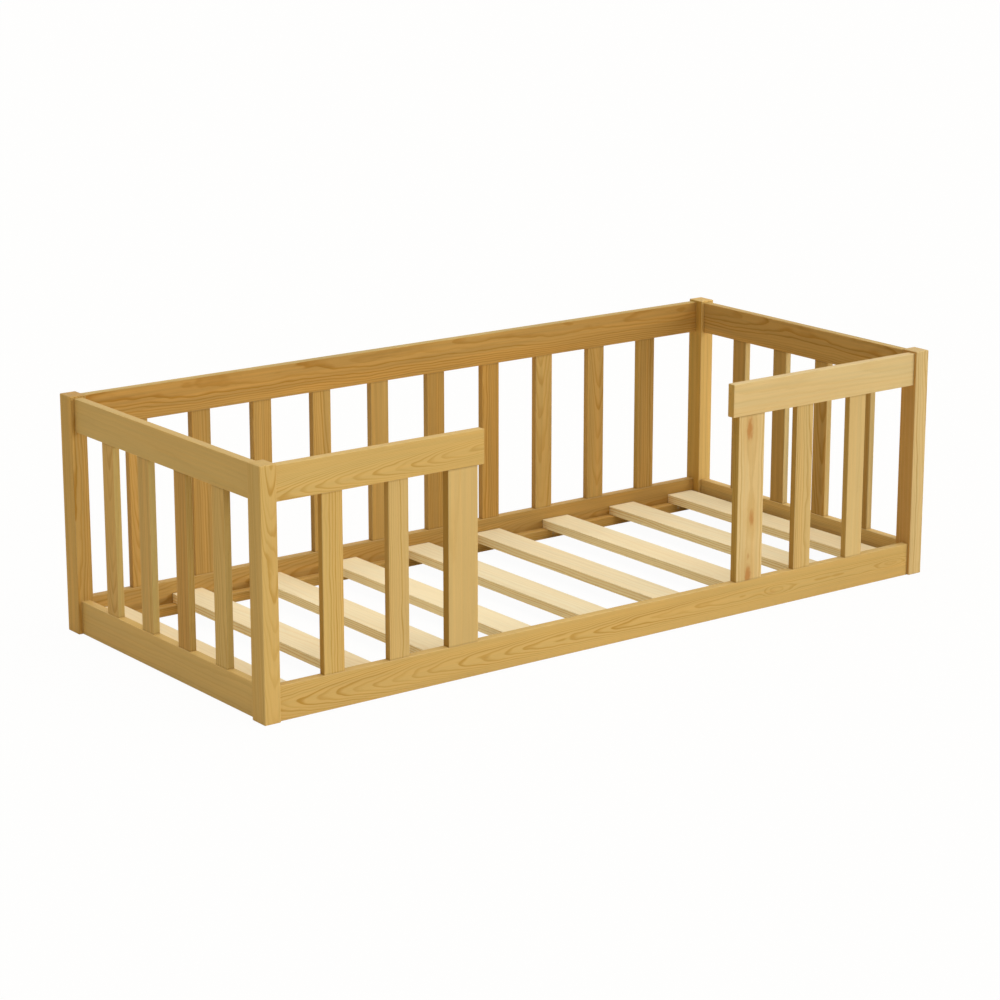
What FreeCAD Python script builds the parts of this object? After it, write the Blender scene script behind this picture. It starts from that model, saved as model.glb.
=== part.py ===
import FreeCAD, Part
import math
import os

import Sketcher
from FreeCAD import Placement, Rotation, Vector

# Toddler floor bed: four corner posts joined by rails, upright bars between the rails on three
# sides, two short guards with a way in between them at the front, and slats pegged to two
# ledgers.  Millimetres.  X runs along the bed, -Y is the front with the way in, +Z is up.
# The origin lies on the floor, in the middle of the bed's footprint.

GUARD_BARS = 2          # upright bars between a front post and the wide board of its guard
SCREW_STEP = 2          # a ledger screw stands beside every second slat
PARALLEL = 0.5          # an edge with a greater cosine to a direction runs along it
SKETCH_SIDE = 10        # side of a sketched square before its sides are bound to sizes

SIZES = (
    # alias, value, what it is
    ("bed_length", 1970, "over the outer faces of the posts, along X"),
    ("bed_width", 870, "over the outer faces of the posts, along Y"),
    ("post_height", 578, "floor to the top of a corner post"),
    ("post_width", 42, "corner post along X"),
    ("post_depth", 51, "corner post along Y"),
    ("post_round", 2.5, "rounding of every edge of a post"),
    ("rail_height", 81, "height of every rail"),
    ("rail_thick", 22, "thickness of every rail and wide board"),
    ("rail_round", 2, "rounding of the edges of rails and wide boards"),
    ("side_setback", 7, "front and rear rails behind the posts' outer faces"),
    ("end_setback", 11, "end rails behind the posts' outer faces"),
    ("top_drop", 5, "top rails below the posts' tops"),
    ("bar_width", 54, "bars of the rear and of the guards, along X"),
    ("bar_thick", 18, "thickness of every upright bar"),
    ("bar_gap", 120, "open width between neighbouring bars along X"),
    ("bar_round", 2, "rounding of the long edges of a bar"),
    ("rear_first_gap", 122, "rear left post to the first rear bar"),
    ("left_guard_gap", 119, "front left post to its first bar"),
    ("right_guard_gap", 161, "front right post to its first bar"),
    ("end_bar_width", 50, "bars of the two ends, along Y"),
    ("end_bar_gap", 110, "open width between neighbouring end bars"),
    ("least_gap", 60, "least open width left beside a post or the last slat"),
    ("board_width", 82, "wide board that closes each guard, along X"),
    ("rail_overhang", 18, "guard rail beyond its wide board"),
    ("ledger_width", 24, "ledger across the bed"),
    ("ledger_height", 24, "ledger's height"),
    ("ledger_lift", 2, "floor to the underside of a ledger"),
    ("ledger_play", 0.5, "ledger's end to the post beside it"),
    ("slat_width", 84, "slat along X"),
    ("slat_thick", 23, "slat's thickness"),
    ("slat_gap", 142.8, "open width between neighbouring slats"),
    ("slat_round", 1.5, "rounding of the long edges of a slat"),
    ("slat_play", 1, "slat's end to the rail beside it"),
    ("first_slat_gap", 1.5, "left end to the first slat"),
    ("last_slat_gap", 7, "last slat to the right end"),
    ("dowel_diameter", 8, "beech dowels in rails, bars and boards"),
    ("dowel_length", 30, "half of it in each piece"),
    ("dowel_play", 0.1, "dowel's side to its bore"),
    ("dowel_end_play", 0.8, "dowel's end to the bottom of its bore"),
    ("rail_dowel_low", 38, "rail's underside to its lower dowel"),
    ("rail_dowel_high", 65, "rail's underside to its upper dowel"),
    ("bar_dowel_spacing", 26, "between the two dowels in the end of a bar"),
    ("board_dowel_spacing", 48, "between the two dowels in the end of a wide board"),
    ("bolt_height", 9, "rail's underside to the axis of its cam bolt"),
    ("bolt_diameter", 6, "cam bolt's thread in the post"),
    ("bolt_thread", 12, "length of thread in the post"),
    ("bolt_shank", 5, "diameter of the cam bolt's shank in the rail"),
    ("bolt_head", 7, "diameter of the cam bolt's head"),
    ("bolt_head_length", 3, "length of the cam bolt's head"),
    ("cam_distance", 24, "rail's end to the middle of its cam"),
    ("cam_diameter", 15, "cam housing across"),
    ("cam_height", 13, "cam housing's height"),
    ("cam_recess", 0.8, "rail's underside to the face of the cam housing"),
    ("cam_slot_width", 2, "driver slot in the face of the cam housing"),
    ("cam_slot_depth", 2.5, "depth of the driver slot"),
    ("fitting_play", 0.2, "cam or bolt to its bore"),
    ("peg_diameter", 8, "peg that holds a slat to the ledger"),
    ("peg_length", 24, "half of it in the ledger and half in the slat"),
    ("screw_length", 40, "ledger screw from head to tip"),
    ("screw_diameter", 4, "ledger screw's shank"),
    ("screw_head", 8, "ledger screw's countersunk head"),
    ("screw_head_depth", 3, "depth of the countersunk head"),
    ("screw_tip", 5, "length of the screw's point"),
    ("screw_point", 1, "diameter of the screw at its very end"),
    ("screw_offset", 24, "middle of a slat to the ledger screw beside it, towards the bed's middle"),
    ("screw_play", 0.1, "screw to its hole"),
)

# Places and lengths that follow from the driving sizes, as expressions.
LEFT_X = "(-Sizes.bed_length / 2)"
RIGHT_X = "(Sizes.bed_length / 2)"
FRONT_Y = "(-Sizes.bed_width / 2)"
REAR_Y = "(Sizes.bed_width / 2)"
SIDE_RUN = "(Sizes.bed_length - 2 * Sizes.post_width)"
END_RUN = "(Sizes.bed_width - 2 * Sizes.post_depth)"
INNER_LEFT = f"({LEFT_X} + Sizes.post_width)"
INNER_RIGHT = f"({RIGHT_X} - Sizes.post_width)"
INNER_FRONT = f"({FRONT_Y} + Sizes.post_depth)"
INNER_REAR = f"({REAR_Y} - Sizes.post_depth)"
TOP_RAIL_Z = "(Sizes.post_height - Sizes.top_drop - Sizes.rail_height)"
BAR_LENGTH = f"({TOP_RAIL_Z} - Sizes.rail_height)"
FRONT_LINE = f"({FRONT_Y} + Sizes.side_setback + Sizes.rail_thick / 2)"
REAR_LINE = f"({REAR_Y} - Sizes.side_setback - Sizes.rail_thick / 2)"
LEFT_LINE = f"({LEFT_X} + Sizes.end_setback + Sizes.rail_thick / 2)"
RIGHT_LINE = f"({RIGHT_X} - Sizes.end_setback - Sizes.rail_thick / 2)"
BAR_PITCH = "(Sizes.bar_width + Sizes.bar_gap)"
END_BAR_PITCH = "(Sizes.end_bar_width + Sizes.end_bar_gap)"
SLAT_PITCH = "(Sizes.slat_width + Sizes.slat_gap)"
BOARD_SHIFT = f"(Sizes.bar_width / 2 + {GUARD_BARS} * {BAR_PITCH} - Sizes.board_width / 2)"
GUARD_REACH = f"({BOARD_SHIFT} + Sizes.board_width + Sizes.rail_overhang)"
END_INSET = "max(Sizes.post_width; Sizes.end_setback + Sizes.rail_thick)"
SIDE_INSET = "(Sizes.side_setback + Sizes.rail_thick)"
SLAT_LENGTH = f"(Sizes.bed_width - 2 * {SIDE_INSET} - 2 * Sizes.slat_play)"
LEDGER_TOP = "(Sizes.ledger_lift + Sizes.ledger_height)"
FRONT_LEDGER_LINE = f"({FRONT_Y} + {SIDE_INSET} + Sizes.ledger_width / 2)"
REAR_LEDGER_LINE = f"({REAR_Y} - {SIDE_INSET} - Sizes.ledger_width / 2)"
LEDGERS = (("front_ledger", FRONT_LEDGER_LINE), ("rear_ledger", REAR_LEDGER_LINE))
CAM_POCKET = "(Sizes.cam_diameter + 2 * Sizes.fitting_play)"
BOLT_REACH = "(Sizes.cam_distance + Sizes.bolt_head_length / 2 + Sizes.fitting_play)"

AXES = {"x": Vector(1, 0, 0), "y": Vector(0, 1, 0), "z": Vector(0, 0, 1)}
PROFILE_PLANES = {"x": "YZ_Plane", "y": "XZ_Plane", "z": "XY_Plane"}
CYLINDER_TURNS = {
    "x": Rotation(Vector(0, 1, 0), 90),
    "z": Rotation(),
}
# Degrees about Z that point a pattern's +X to the right, the rear, the left and the front.
TURN_RIGHT, TURN_REAR, TURN_LEFT, TURN_FRONT = 0, 90, 180, 270

doc = FreeCAD.newDocument("toddler_floor_bed")
parts = []              # every finished piece, or group of like pieces
bores = {}              # piece name -> the bores that are drilled in it


def make_sheet():
    """Put the driving sizes in a spreadsheet, one alias a row."""
    sheet = doc.addObject("Spreadsheet::Sheet", "Sizes")
    for row, (alias, value, note) in enumerate(SIZES, start=1):
        sheet.set(f"A{row}", alias)
        sheet.set(f"B{row}", str(value))
        sheet.setAlias(f"B{row}", alias)
        sheet.set(f"C{row}", note)
    doc.recompute()
    return sheet


def size(alias):
    """A driving size as a number, for counting how many pieces fit."""
    return float(sheet.get(alias))


def bind(item, **expressions):
    """Bind properties of an object to expressions."""
    for name, expression in expressions.items():
        item.setExpression(name, expression)


def bind_place(item, at, turn=Rotation()):
    """Turn an object and bind the place of its own origin to three expressions."""
    item.Placement = Placement(Vector(), turn)
    for axis, expression in zip("xyz", at):
        item.setExpression(f".Placement.Base.{axis}", expression)


# ---------------------------------------------------------------- timber pieces

def profile(body, plane, width, height):
    """A rectangle from the body's origin, with its two sides bound to expressions."""
    sketch = body.newObject("Sketcher::SketchObject", body.Name + "_profile")
    support = [item for item in body.Origin.OriginFeatures if item.Role == plane]
    sketch.AttachmentSupport = (support[0], [""])
    sketch.MapMode = "FlatFace"
    side = SKETCH_SIDE
    corners = [Vector(0, 0, 0), Vector(side, 0, 0), Vector(side, side, 0), Vector(0, side, 0)]
    for index, corner in enumerate(corners):
        following = corners[(index + 1) % len(corners)]
        sketch.addGeometry(Part.LineSegment(corner, following), False)
    for index in range(len(corners)):
        following = (index + 1) % len(corners)
        sketch.addConstraint(Sketcher.Constraint("Coincident", index, 2, following, 1))
    for index in (0, 2):
        sketch.addConstraint(Sketcher.Constraint("Horizontal", index))
    for index in (1, 3):
        sketch.addConstraint(Sketcher.Constraint("Vertical", index))
    sketch.addConstraint(Sketcher.Constraint("Coincident", 0, 1, -1, 1))
    across = sketch.addConstraint(Sketcher.Constraint("DistanceX", 0, 1, 0, 2, side))
    sketch.renameConstraint(across, "across")
    upward = sketch.addConstraint(Sketcher.Constraint("DistanceY", 1, 1, 1, 2, side))
    sketch.renameConstraint(upward, "upward")
    sketch.setExpression("Constraints.across", width)
    sketch.setExpression("Constraints.upward", height)
    return sketch


def rounded_edges(shape, axis, low_end, high_end):
    """Names of the long edges along the axis, and of the edges round each wanted end."""
    direction = AXES[axis]
    ends = [vertex.Point.dot(direction) for vertex in shape.Vertexes]
    middle = (min(ends) + max(ends)) / 2
    names = []
    for index, edge in enumerate(shape.Edges, start=1):
        along = abs(edge.tangentAt(edge.FirstParameter).dot(direction)) > PARALLEL
        beyond = edge.CenterOfMass.dot(direction) > middle
        at_end = high_end if beyond else low_end
        if along or at_end:
            names.append(f"Edge{index}")
    return names


def timber(name, axis, dims, corner, rounding, low_end=False, high_end=False):
    """A planed piece: its section padded along the axis and its edges rounded.

    dims are its sizes along X, Y and Z, and corner is its lowest corner, as expressions.
    """
    body = doc.addObject("PartDesign::Body", name + "_blank")
    size_x, size_y, size_z = dims
    sections = {
        "x": (size_y, size_z, size_x),
        "y": (size_x, size_z, size_y),
        "z": (size_x, size_y, size_z),
    }
    width, height, length = sections[axis]
    pad = body.newObject("PartDesign::Pad", body.Name + "_pad")
    pad.Profile = profile(body, PROFILE_PLANES[axis], width, height)
    pad.Reversed = axis == "y"
    bind(pad, Length=length)
    doc.recompute()
    fillet = body.newObject("PartDesign::Fillet", body.Name + "_edges")
    fillet.Base = (pad, rounded_edges(pad.Shape, axis, low_end, high_end))
    bind(fillet, Radius=rounding)
    body.Tip = fillet
    bind_place(body, corner)
    bores[name] = []
    return body


def drill(name, body):
    """Take the bores of a piece out of its blank, and list it as finished."""
    tools = doc.addObject("Part::Compound", name + "_bores")
    tools.Links = bores[name]
    drilled = doc.addObject("Part::Cut", name)
    drilled.Base = body
    drilled.Tool = tools
    parts.append(drilled)


# ---------------------------------------------------------------- fasteners

def rod(name, diameter, length, at, axis="z"):
    """A cylinder along an axis, starting at a point, with everything bound to expressions."""
    cylinder = doc.addObject("Part::Cylinder", name)
    bind(cylinder, Radius=f"({diameter}) / 2", Height=length)
    bind_place(cylinder, at, CYLINDER_TURNS[axis])
    return cylinder


def cone(name, diameter_1, diameter_2, length, at):
    """A cone along X, starting at a point."""
    taper = doc.addObject("Part::Cone", name)
    bind(taper, Radius1=f"({diameter_1}) / 2", Radius2=f"({diameter_2}) / 2", Height=length)
    bind_place(taper, at, CYLINDER_TURNS["x"])
    return taper


def union(name, pieces):
    fusion = doc.addObject("Part::MultiFuse", name)
    fusion.Shapes = pieces
    return fusion


def group(name, pieces):
    compound = doc.addObject("Part::Compound", name)
    compound.Links = pieces
    return compound


def dowel_pair(name, spacing, play, end_play):
    """Two upright rods about the origin, side by side along X: dowels, or bores for them."""
    length = f"(Sizes.dowel_length + 2 * {end_play})"
    diameter = f"(Sizes.dowel_diameter + 2 * {play})"
    rods = []
    for side, sign in (("a", "-"), ("b", "")):
        at = (f"{sign}{spacing} / 2", "0", f"-{length} / 2")
        rods.append(rod(f"{name}_{side}", diameter, length, at))
    return group(name, rods)


def rail_dowels(name, play, end_play):
    """The two level dowels at a rail's end, or their bores.  +X points into the rail."""
    length = f"(Sizes.dowel_length + 2 * {end_play})"
    diameter = f"(Sizes.dowel_diameter + 2 * {play})"
    rods = []
    for height in ("rail_dowel_low", "rail_dowel_high"):
        at = (f"-{length} / 2", "0", f"Sizes.{height}")
        rods.append(rod(f"{name}_{height}", diameter, length, at, "x"))
    return group(name, rods)


def cam_bolt():
    """Threaded in the post on -X, with its head caught in the cam on +X."""
    head_start = "(Sizes.cam_distance - Sizes.bolt_head_length / 2)"
    axis_z = "Sizes.bolt_height"
    thread = rod("bolt_thread_rod", "Sizes.bolt_diameter", "Sizes.bolt_thread",
                 ("-Sizes.bolt_thread", "0", axis_z), "x")
    shank = rod("bolt_shank_rod", "Sizes.bolt_shank", head_start, ("0", "0", axis_z), "x")
    head = rod("bolt_head_rod", "Sizes.bolt_head", "Sizes.bolt_head_length",
               (head_start, "0", axis_z), "x")
    return union("cam_bolt", [thread, shank, head])


def cam_housing():
    """A round cam in the rail's underside, open towards the bolt, with a driver slot below."""
    drum = rod("cam_drum", "Sizes.cam_diameter", "Sizes.cam_height",
               ("Sizes.cam_distance", "0", "Sizes.cam_recess"))
    mouth_length = f"({CAM_POCKET} / 2 + {BOLT_REACH} - Sizes.cam_distance)"
    mouth = rod("cam_mouth", "Sizes.bolt_head + 2 * Sizes.fitting_play", mouth_length,
                (f"Sizes.cam_distance - {CAM_POCKET} / 2", "0", "Sizes.bolt_height"), "x")
    slot = doc.addObject("Part::Box", "cam_slot")
    bind(slot, Length="2 * Sizes.cam_diameter", Width="Sizes.cam_slot_width",
         Height="Sizes.cam_slot_depth")
    bind_place(slot, ("Sizes.cam_distance - Sizes.cam_diameter", "-Sizes.cam_slot_width / 2",
                      "Sizes.cam_recess"))
    housing = doc.addObject("Part::Cut", "cam_housing")
    housing.Base = drum
    housing.Tool = union("cam_openings", [mouth, slot])
    return housing


def fitting_bores():
    """Bores of one rail end: the bolt's in post and rail, the cam's from the underside."""
    play = "2 * Sizes.fitting_play"
    thread_length = "(Sizes.bolt_thread + Sizes.fitting_play)"
    thread = rod("thread_bore", f"Sizes.bolt_diameter + {play}", thread_length,
                 (f"-{thread_length}", "0", "Sizes.bolt_height"), "x")
    shank = rod("shank_bore", f"Sizes.bolt_head + {play}", BOLT_REACH,
                ("0", "0", "Sizes.bolt_height"), "x")
    depth = "(Sizes.cam_recess + Sizes.cam_height + Sizes.fitting_play)"
    # The pocket's cylinder starts as far below the rail's underside as it ends above it.
    pocket = rod("cam_pocket", CAM_POCKET, f"2 * {depth}", ("Sizes.cam_distance", "0", f"-{depth}"))
    return union("fitting_bores", [thread, shank, pocket])


def countersunk(name, play, tip_play):
    """A ledger screw along X, or its hole.  The head's face is at the origin."""
    wide = f"(Sizes.screw_head + 2 * {play})"
    thin = f"(Sizes.screw_diameter + 2 * {play})"
    shank_length = "(Sizes.screw_length - Sizes.screw_head_depth - Sizes.screw_tip)"
    tip_at = "(Sizes.screw_length - Sizes.screw_tip)"
    head = cone(name + "_head", wide, thin, "Sizes.screw_head_depth", ("0", "0", "0"))
    shank = rod(name + "_shank", thin, shank_length, ("Sizes.screw_head_depth", "0", "0"), "x")
    point = f"(Sizes.screw_point + 2 * {play})"
    tip = cone(name + "_tip", thin, point, f"Sizes.screw_tip + {tip_play}", (tip_at, "0", "0"))
    return union(name, [head, shank, tip])


def peg(name, play, end_play):
    """An upright rod about the origin: a slat's peg, or its bore."""
    length = f"(Sizes.peg_length + 2 * {end_play})"
    diameter = f"(Sizes.peg_diameter + 2 * {play})"
    return group(name, [rod(name + "_rod", diameter, length, ("0", "0", f"-{length} / 2"))])


def place(pattern, name, at, degrees=0):
    """A copy of a pattern piece, turned about Z and put at a place given by expressions."""
    copy = doc.addObject("App::Link", name)
    copy.LinkedObject = pattern
    copy.LinkTransform = False
    bind_place(copy, at, Rotation(AXES["z"], degrees))
    return copy


# ---------------------------------------------------------------- the bed

def add_posts():
    """Four corner posts, with all their edges rounded."""
    dims = ("Sizes.post_width", "Sizes.post_depth", "Sizes.post_height")
    rows = {"front": FRONT_Y, "rear": INNER_REAR}
    columns = {"left": LEFT_X, "right": INNER_RIGHT}
    blanks = {}
    for row, y in rows.items():
        for column, x in columns.items():
            name = f"{row}_{column}_post"
            blanks[name] = timber(name, "z", dims, (x, y, "0"), "Sizes.post_round", True, True)
    return blanks


def add_rails():
    """Rails between the posts, and the two guard rails with a free end."""
    side_dims = (SIDE_RUN, "Sizes.rail_thick", "Sizes.rail_height")
    end_dims = ("Sizes.rail_thick", END_RUN, "Sizes.rail_height")
    front_y = f"{FRONT_LINE} - Sizes.rail_thick / 2"
    rear_y = f"{REAR_LINE} - Sizes.rail_thick / 2"
    blanks = {}
    for name, y, z in (
        ("front_bottom_rail", front_y, "0"),
        ("rear_bottom_rail", rear_y, "0"),
        ("rear_top_rail", rear_y, TOP_RAIL_Z),
    ):
        blanks[name] = timber(name, "x", side_dims, (INNER_LEFT, y, z), "Sizes.rail_round")
    for name, line, z in (
        ("left_bottom_rail", LEFT_LINE, "0"),
        ("left_top_rail", LEFT_LINE, TOP_RAIL_Z),
        ("right_bottom_rail", RIGHT_LINE, "0"),
        ("right_top_rail", RIGHT_LINE, TOP_RAIL_Z),
    ):
        corner = (f"{line} - Sizes.rail_thick / 2", INNER_FRONT, z)
        blanks[name] = timber(name, "y", end_dims, corner, "Sizes.rail_round")
    left_length = f"(Sizes.left_guard_gap + {GUARD_REACH})"
    right_length = f"(Sizes.right_guard_gap + {GUARD_REACH})"
    blanks["left_guard_rail"] = timber(
        "left_guard_rail", "x", (left_length, "Sizes.rail_thick", "Sizes.rail_height"),
        (INNER_LEFT, front_y, TOP_RAIL_Z), "Sizes.rail_round", high_end=True)
    blanks["right_guard_rail"] = timber(
        "right_guard_rail", "x", (right_length, "Sizes.rail_thick", "Sizes.rail_height"),
        (f"{INNER_RIGHT} - {right_length}", front_y, TOP_RAIL_Z), "Sizes.rail_round", low_end=True)
    return blanks


def add_bar(name, centre_x, line_y):
    """An upright bar that is wide along X, centred on the line of its rails."""
    dims = ("Sizes.bar_width", "Sizes.bar_thick", BAR_LENGTH)
    corner = (f"{centre_x} - Sizes.bar_width / 2", f"{line_y} - Sizes.bar_thick / 2",
              "Sizes.rail_height")
    return timber(name, "z", dims, corner, "Sizes.bar_round")


def add_end_bar(name, line_x, centre_y):
    """An upright bar that is wide along Y, centred on the line of its rails."""
    dims = ("Sizes.bar_thick", "Sizes.end_bar_width", BAR_LENGTH)
    corner = (f"{line_x} - Sizes.bar_thick / 2", f"{centre_y} - Sizes.end_bar_width / 2",
              "Sizes.rail_height")
    return timber(name, "z", dims, corner, "Sizes.bar_round")


def add_board(name, centre_x):
    """The wide board at the free end of a guard, as thick as its rails."""
    dims = ("Sizes.board_width", "Sizes.rail_thick", BAR_LENGTH)
    corner = (f"{centre_x} - Sizes.board_width / 2", f"{FRONT_LINE} - Sizes.rail_thick / 2",
              "Sizes.rail_height")
    return timber(name, "z", dims, corner, "Sizes.rail_round")


def bar_ends(names, pair, pair_bores, spots, turn, rails):
    """Dowels at both ends of each upright piece, and their bores in it and in its rails."""
    bottom_rail, top_rail = rails
    ends = ((bottom_rail, "Sizes.rail_height", "foot"), (top_rail, TOP_RAIL_Z, "head"))
    dowels = []
    for name, (x, y) in zip(names, spots):
        for rail, z, end in ends:
            dowels.append(place(pair, f"{name}_{end}_dowels", (x, y, z), turn))
            bore = place(pair_bores, f"{name}_{end}_bores", (x, y, z), turn)
            bores[name].append(bore)
            bores[rail].append(bore)
    return dowels


def add_rear_bars(pair, pair_bores):
    """Bars from the rear left post on, as many as leave the least gap beside the last one."""
    pitch = size("bar_width") + size("bar_gap")
    run = size("bed_length") - 2 * size("post_width")
    room = run - size("rear_first_gap") - size("bar_width") - size("least_gap")
    count = math.floor(room / pitch) + 1
    names = [f"rear_bar_{number:02d}" for number in range(1, count + 1)]
    first = f"{INNER_LEFT} + Sizes.rear_first_gap + Sizes.bar_width / 2"
    spots = [(f"({first} + {index} * {BAR_PITCH})", REAR_LINE) for index in range(count)]
    blanks = {name: add_bar(name, x, y) for name, (x, y) in zip(names, spots)}
    rails = ("rear_bottom_rail", "rear_top_rail")
    dowels = bar_ends(names, pair, pair_bores, spots, TURN_RIGHT, rails)
    parts.append(group("rear_bar_dowels", dowels))
    return blanks


def add_end_bars(end, line_x, pair, pair_bores):
    """Bars of one end, evenly spaced about the middle of the bed's width."""
    pitch = size("end_bar_width") + size("end_bar_gap")
    run = size("bed_width") - 2 * size("post_depth")
    room = run - size("end_bar_width") - 2 * size("least_gap")
    count = math.floor(room / pitch) + 1
    names = [f"{end}_end_bar_{number}" for number in range(1, count + 1)]
    middle = f"{count - 1} / 2"
    spots = [(line_x, f"(({index} - {middle}) * {END_BAR_PITCH})") for index in range(count)]
    blanks = {name: add_end_bar(name, x, y) for name, (x, y) in zip(names, spots)}
    rails = (f"{end}_bottom_rail", f"{end}_top_rail")
    dowels = bar_ends(names, pair, pair_bores, spots, TURN_REAR, rails)
    parts.append(group(f"{end}_end_bar_dowels", dowels))
    return blanks


def add_guard(side, inner_x, sign, bar_pair, bar_bores, board_pair, board_bores):
    """Two bars and the wide board of one front guard, counted from its post."""
    start = f"({inner_x} {sign} (Sizes.{side}_guard_gap + Sizes.bar_width / 2))"
    names = [f"{side}_guard_bar_{number}" for number in range(1, GUARD_BARS + 1)]
    spots = [(f"({start} {sign} {index} * {BAR_PITCH})", FRONT_LINE) for index in range(GUARD_BARS)]
    board = f"{side}_guard_board"
    board_spot = (f"({start} {sign} {GUARD_BARS} * {BAR_PITCH})", FRONT_LINE)
    blanks = {name: add_bar(name, x, y) for name, (x, y) in zip(names, spots)}
    blanks[board] = add_board(board, board_spot[0])
    rails = ("front_bottom_rail", f"{side}_guard_rail")
    dowels = bar_ends(names, bar_pair, bar_bores, spots, TURN_RIGHT, rails)
    dowels += bar_ends([board], board_pair, board_bores, [board_spot], TURN_RIGHT, rails)
    parts.append(group(f"{side}_guard_dowels", dowels))
    return blanks


def add_rail_joints():
    """A cam fitting and two dowels where each rail end meets its post."""
    dowel = rail_dowels("rail_dowel", "0", "0")
    dowel_bores = rail_dowels("rail_dowel_bore", "Sizes.dowel_play", "Sizes.dowel_end_play")
    bolt = cam_bolt()
    housing = cam_housing()
    fitting = fitting_bores()
    levels = (
        ("bottom", "0", "front_bottom_rail", "front_bottom_rail"),
        ("top", TOP_RAIL_Z, "left_guard_rail", "right_guard_rail"),
    )
    ends = []
    for level, z, front_left, front_right in levels:
        ends += [
            (front_left, "front_left_post", (INNER_LEFT, FRONT_LINE, z), TURN_RIGHT),
            (front_right, "front_right_post", (INNER_RIGHT, FRONT_LINE, z), TURN_LEFT),
            (f"rear_{level}_rail", "rear_left_post", (INNER_LEFT, REAR_LINE, z), TURN_RIGHT),
            (f"rear_{level}_rail", "rear_right_post", (INNER_RIGHT, REAR_LINE, z), TURN_LEFT),
            (f"left_{level}_rail", "front_left_post", (LEFT_LINE, INNER_FRONT, z), TURN_REAR),
            (f"left_{level}_rail", "rear_left_post", (LEFT_LINE, INNER_REAR, z), TURN_FRONT),
            (f"right_{level}_rail", "front_right_post", (RIGHT_LINE, INNER_FRONT, z), TURN_REAR),
            (f"right_{level}_rail", "rear_right_post", (RIGHT_LINE, INNER_REAR, z), TURN_FRONT),
        ]
    dowels, bolts, housings = [], [], []
    for rail, post, at, turn in ends:
        joint = f"{rail}_at_{post}"
        dowels.append(place(dowel, joint + "_dowels", at, turn))
        bolts.append(place(bolt, joint + "_bolt", at, turn))
        housings.append(place(housing, joint + "_cam", at, turn))
        for pattern, kind in ((dowel_bores, "dowel_bores"), (fitting, "fitting_bores")):
            bore = place(pattern, f"{joint}_{kind}", at, turn)
            bores[rail].append(bore)
            bores[post].append(bore)
    parts.append(group("rail_dowels", dowels))
    parts.append(group("cam_bolts", bolts))
    parts.append(group("cam_housings", housings))


def slat_spots():
    """Middles of the slats: an even row from the left, and the last one beside the right end."""
    inset = max(size("post_width"), size("end_setback") + size("rail_thick"))
    run = size("bed_length") - 2 * inset
    pitch = size("slat_width") + size("slat_gap")
    last = run - size("last_slat_gap") - size("slat_width")
    room = last - size("least_gap") - size("slat_width") - size("first_slat_gap")
    count = math.floor(room / pitch) + 1
    left = f"{LEFT_X} + {END_INSET} + Sizes.first_slat_gap + Sizes.slat_width / 2"
    right = f"{RIGHT_X} - {END_INSET} - Sizes.last_slat_gap - Sizes.slat_width / 2"
    return [f"({left} + {index} * {SLAT_PITCH})" for index in range(count)] + [f"({right})"]


def add_ledgers():
    """Square strips along the inner faces of the front and rear bottom rails."""
    dims = (f"{SIDE_RUN} - 2 * Sizes.ledger_play", "Sizes.ledger_width", "Sizes.ledger_height")
    blanks = {}
    for name, line in LEDGERS:
        corner = (f"{INNER_LEFT} + Sizes.ledger_play", f"{line} - Sizes.ledger_width / 2",
                  "Sizes.ledger_lift")
        blanks[name] = timber(name, "x", dims, corner, "Sizes.slat_round")
    return blanks


def add_slats(spots):
    """Slats laid on the ledgers, each held by a peg at both ends."""
    dims = ("Sizes.slat_width", SLAT_LENGTH, "Sizes.slat_thick")
    pattern = peg("slat_peg", "0", "0")
    pattern_bore = peg("slat_peg_bore", "Sizes.dowel_play", "Sizes.dowel_end_play")
    blanks = {}
    pegs = []
    for number, x in enumerate(spots, start=1):
        name = f"slat_{number}"
        corner = (f"{x} - Sizes.slat_width / 2", f"-{SLAT_LENGTH} / 2", LEDGER_TOP)
        blanks[name] = timber(name, "y", dims, corner, "Sizes.slat_round")
        for ledger, line in LEDGERS:
            pegs.append(place(pattern, f"{name}_{ledger}_peg", (x, line, LEDGER_TOP)))
            bore = place(pattern_bore, f"{name}_{ledger}_peg_bore", (x, line, LEDGER_TOP))
            bores[name].append(bore)
            bores[ledger].append(bore)
    parts.append(group("slat_pegs", pegs))
    return blanks


def add_ledger_screws(spots):
    """Countersunk screws through each ledger into its rail, hidden below the slats."""
    pattern = countersunk("ledger_screw", "0", "0")
    pattern_bore = countersunk("ledger_screw_hole", "Sizes.screw_play", "Sizes.dowel_end_play")
    z = "(Sizes.ledger_lift + Sizes.ledger_height / 2)"
    front_face = f"{FRONT_LEDGER_LINE} + Sizes.ledger_width / 2"
    rear_face = f"{REAR_LEDGER_LINE} - Sizes.ledger_width / 2"
    rows = (
        ("front_ledger", "front_bottom_rail", front_face, TURN_FRONT),
        ("rear_ledger", "rear_bottom_rail", rear_face, TURN_REAR),
    )
    screws = []
    for index in range(0, len(spots), SCREW_STEP):
        inward = "+" if index < len(spots) / 2 else "-"
        for ledger, rail, face, turn in rows:
            at = (f"{spots[index]} {inward} Sizes.screw_offset", face, z)
            screws.append(place(pattern, f"{ledger}_screw_{index + 1}", at, turn))
            bore = place(pattern_bore, f"{ledger}_screw_hole_{index + 1}", at, turn)
            bores[ledger].append(bore)
            bores[rail].append(bore)
    parts.append(group("ledger_screws", screws))


def check():
    """Stop if anything failed to build."""
    for item in doc.Objects:
        if "Invalid" in item.State or "Error" in item.State:
            raise RuntimeError(f"{item.Label} did not build: {item.State}")
    for part in parts:
        if part.Shape.isNull() or not part.Shape.isValid():
            raise RuntimeError(f"{part.Label} has no valid shape")


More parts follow.
